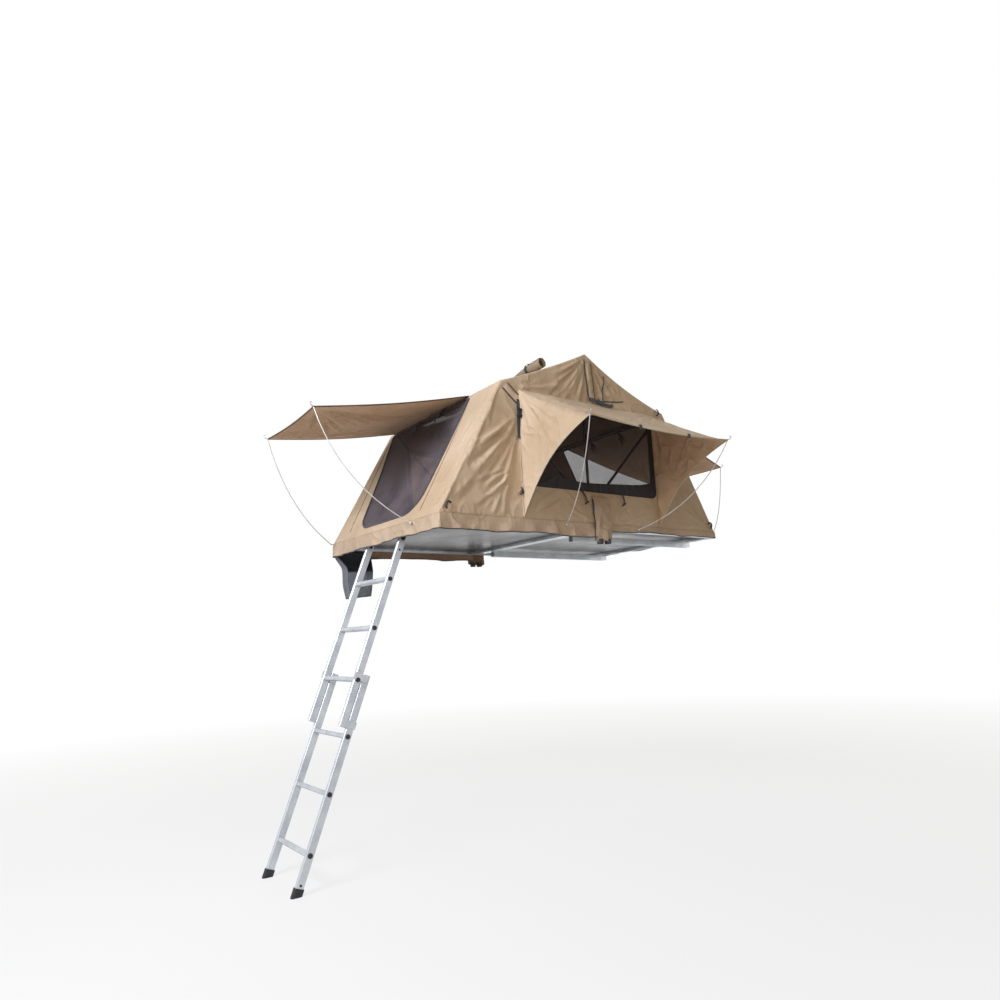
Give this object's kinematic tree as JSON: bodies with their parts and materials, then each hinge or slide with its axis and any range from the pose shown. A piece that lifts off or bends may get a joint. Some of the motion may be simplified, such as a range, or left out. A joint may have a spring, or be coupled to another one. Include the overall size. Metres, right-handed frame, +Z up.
{
  "type": "roof top tent",
  "caption": "Fold-out roof top tent: clamshell base, fabric shell on swinging bows, propped awnings, sliding ladder and shoe bag.",
  "frame": {"origin": "midway between the two mounting rails, on the plane of their undersides that rests on the rack", "axes": "+X away from the ladder, along the tent's length; +Y across the tent, away from the window side seen in the picture; +Z up"},
  "size_m": [3.5688, 2.6596, 3.0949],
  "materials": {
    "canvas": "matte",
    "awning": "matte",
    "mesh": "matte",
    "aluminium": "satin",
    "bow": "satin",
    "steel": "satin",
    "panel": "gloss",
    "foam": "matte",
    "rod": "satin",
    "black": "matte",
    "rubber": "matte",
    "bag": "matte"
  },
  "bodies": {
    "base_fixed": {"floor_fixed": "panel", "frame_fixed": "aluminium", "mount_rail_near": "aluminium", "mount_rail_far": "aluminium", "hinge_bracket_fixed_near": "steel", "hinge_bracket_fixed_far": "steel", "hinge_pin_near": "steel", "hinge_pin_far": "steel", "mattress_fixed": "foam", "skirt_fixed": "canvas", "end_wall_fixed": "canvas", "door_mesh_fixed": "mesh", "side_wall_near": "canvas", "side_wall_far": "canvas", "window_mesh_near": "mesh", "window_mesh_far": "mesh", "hinge_sleeve_near": "canvas", "hinge_sleeve_far": "canvas"},
    "bow_fixed": {"bow_fixed": "bow", "roof_fixed": "canvas"},
    "bow_centre": {"bow_centre": "bow", "vent_mesh": "mesh", "vent_roll": "canvas"},
    "bow_out": {"bow_out": "bow", "roof_out": "canvas"},
    "base_out": {"floor_out": "panel", "frame_out": "aluminium", "mattress_out": "foam", "skirt_out": "canvas", "end_wall_out": "canvas", "door_mesh_out": "mesh", "shoe_bag": "bag", "hinge_bracket_out_near": "steel", "hinge_bracket_out_far": "steel", "ladder_bracket_near": "black", "ladder_bracket_far": "black"},
    "awning_fixed": {"awning_fixed": "awning"},
    "awning_out": {"awning_out": "awning"},
    "awning_near": {"awning_near": "awning"},
    "awning_far": {"awning_far": "awning"},
    "rod_fixed_near": {"rod_fixed_near": "rod"},
    "rod_fixed_far": {"rod_fixed_far": "rod"},
    "rod_fixed_middle": {"rod_fixed_middle": "rod"},
    "rod_fixed_corner": {"rod_fixed_corner": "rod"},
    "rod_out_near": {"rod_out_near": "rod"},
    "rod_out_far": {"rod_out_far": "rod"},
    "rod_out_middle": {"rod_out_middle": "rod"},
    "rod_out_corner": {"rod_out_corner": "rod"},
    "ladder_upper": {"ladder_upper": "aluminium"},
    "ladder_lower": {"ladder_lower": "aluminium", "ladder_foot_near": "rubber", "ladder_foot_far": "rubber"}
  },
  "joints": [
    {"name": "bow_fixed_swing", "type": "hinge", "parent": "base_fixed", "child": "bow_fixed", "pos_m": [-0.59, 0, 0.2053], "axis": [0, 1, 0], "range_deg": [0, 47.5], "deforming": ["end_wall_fixed", "door_mesh_fixed", "side_wall_near", "side_wall_far", "window_mesh_near", "window_mesh_far", "roof_fixed", "hinge_sleeve_near", "hinge_sleeve_far", "skirt_fixed"]},
    {"name": "bow_centre_swing", "type": "hinge", "parent": "bow_fixed", "child": "bow_centre", "pos_m": [-0.59, 0, 0.2053], "axis": [0, 1, 0], "range_deg": [0, 42.5], "deforming": ["vent_mesh", "vent_roll"]},
    {"name": "bow_out_swing", "type": "hinge", "parent": "bow_centre", "child": "bow_out", "pos_m": [-0.59, 0, 0.2053], "axis": [0, 1, 0], "range_deg": [0, 42.5], "deforming": ["roof_out"]},
    {"name": "fold", "type": "hinge", "parent": "bow_out", "child": "base_out", "pos_m": [-0.59, 0, 0.2053], "axis": [0, 1, 0], "range_deg": [0, 47.5], "deforming": ["end_wall_out", "door_mesh_out", "skirt_out"]},
    {"name": "awning_fixed_drop", "type": "hinge", "parent": "bow_fixed", "child": "awning_fixed", "pos_m": [0.128, 0, 0.9233], "axis": [0, 1, 0], "range_deg": [0, 48.8], "deforming": ["awning_fixed"]},
    {"name": "awning_out_drop", "type": "hinge", "parent": "bow_out", "child": "awning_out", "pos_m": [-1.308, 0, 0.9233], "axis": [0, -1, 0], "range_deg": [0, 48.8], "deforming": ["awning_out"]},
    {"name": "awning_near_drop", "type": "hinge", "parent": "bow_centre", "child": "awning_near", "pos_m": [-0.59, -0.71, 0.8853], "axis": [1, 0, 0], "range_deg": [0, 62.1], "deforming": ["awning_near"]},
    {"name": "awning_far_drop", "type": "hinge", "parent": "bow_centre", "child": "awning_far", "pos_m": [-0.59, 0.71, 0.8853], "axis": [-1, 0, 0], "range_deg": [0, 62.1], "deforming": ["awning_far"]},
    {"name": "rod_fixed_near_swing", "type": "hinge", "parent": "base_fixed", "child": "rod_fixed_near", "pos_m": [-0.23, -0.732, 0.0593], "axis": [0.3021, 0.4312, 0.8502], "range_deg": [0, 76.57]},
    {"name": "rod_fixed_far_swing", "type": "hinge", "parent": "base_fixed", "child": "rod_fixed_far", "pos_m": [-0.23, 0.732, 0.0593], "axis": [-0.3021, 0.4312, -0.8502], "range_deg": [0, 76.57]},
    {"name": "rod_fixed_middle_swing", "type": "hinge", "parent": "base_fixed", "child": "rod_fixed_middle", "pos_m": [0.612, 0.43, 0.0653], "axis": [0.6328, -0.7036, 0.3233], "range_deg": [0, 148.8]},
    {"name": "rod_fixed_corner_swing", "type": "hinge", "parent": "base_fixed", "child": "rod_fixed_corner", "pos_m": [0.626, -0.665, 0.0773], "axis": [-0.4916, -0.7786, -0.39], "range_deg": [0, 153.5]},
    {"name": "rod_out_near_swing", "type": "hinge", "parent": "base_out", "child": "rod_out_near", "pos_m": [-0.87, -0.732, 0.0593], "axis": [0.2873, -0.463, -0.8385], "range_deg": [0, 70.55]},
    {"name": "rod_out_far_swing", "type": "hinge", "parent": "base_out", "child": "rod_out_far", "pos_m": [-0.87, 0.732, 0.0593], "axis": [-0.2873, -0.463, 0.8385], "range_deg": [0, 70.55]},
    {"name": "rod_out_middle_swing", "type": "hinge", "parent": "base_out", "child": "rod_out_middle", "pos_m": [-1.792, -0.43, 0.0653], "axis": [-0.6328, 0.7036, 0.3233], "range_deg": [0, 148.8]},
    {"name": "rod_out_corner_swing", "type": "hinge", "parent": "base_out", "child": "rod_out_corner", "pos_m": [-1.806, 0.665, 0.0773], "axis": [0.4916, 0.7786, -0.39], "range_deg": [0, 153.5]},
    {"name": "ladder_swing", "type": "hinge", "parent": "base_out", "child": "ladder_upper", "pos_m": [-1.73, 0, 0.00625], "axis": [0, 1, 0], "range_deg": [-75, 60]},
    {"name": "ladder_slide", "type": "slide", "parent": "ladder_upper", "child": "ladder_lower", "axis": [0.3502, 0, 0.9367], "range_m": [0, 0.76]}
  ],
  "couplings": [
    {"joint": "bow_fixed_swing", "follows": "fold", "ratio": 1},
    {"joint": "bow_centre_swing", "follows": "fold", "ratio": 0.89474},
    {"joint": "bow_out_swing", "follows": "fold", "ratio": 0.89474},
    {"joint": "awning_fixed_drop", "follows": "fold", "ratio": 1.0274},
    {"joint": "awning_out_drop", "follows": "fold", "ratio": 1.0274},
    {"joint": "awning_near_drop", "follows": "fold", "ratio": 1.3074},
    {"joint": "awning_far_drop", "follows": "fold", "ratio": 1.3074},
    {"joint": "rod_fixed_near_swing", "follows": "fold", "ratio": 1.612},
    {"joint": "rod_fixed_far_swing", "follows": "fold", "ratio": 1.612},
    {"joint": "rod_fixed_middle_swing", "follows": "fold", "ratio": 3.1326},
    {"joint": "rod_fixed_corner_swing", "follows": "fold", "ratio": 3.2316},
    {"joint": "rod_out_near_swing", "follows": "fold", "ratio": 1.4852},
    {"joint": "rod_out_far_swing", "follows": "fold", "ratio": 1.4852},
    {"joint": "rod_out_middle_swing", "follows": "fold", "ratio": 3.1326},
    {"joint": "rod_out_corner_swing", "follows": "fold", "ratio": 3.2316}
  ]
}
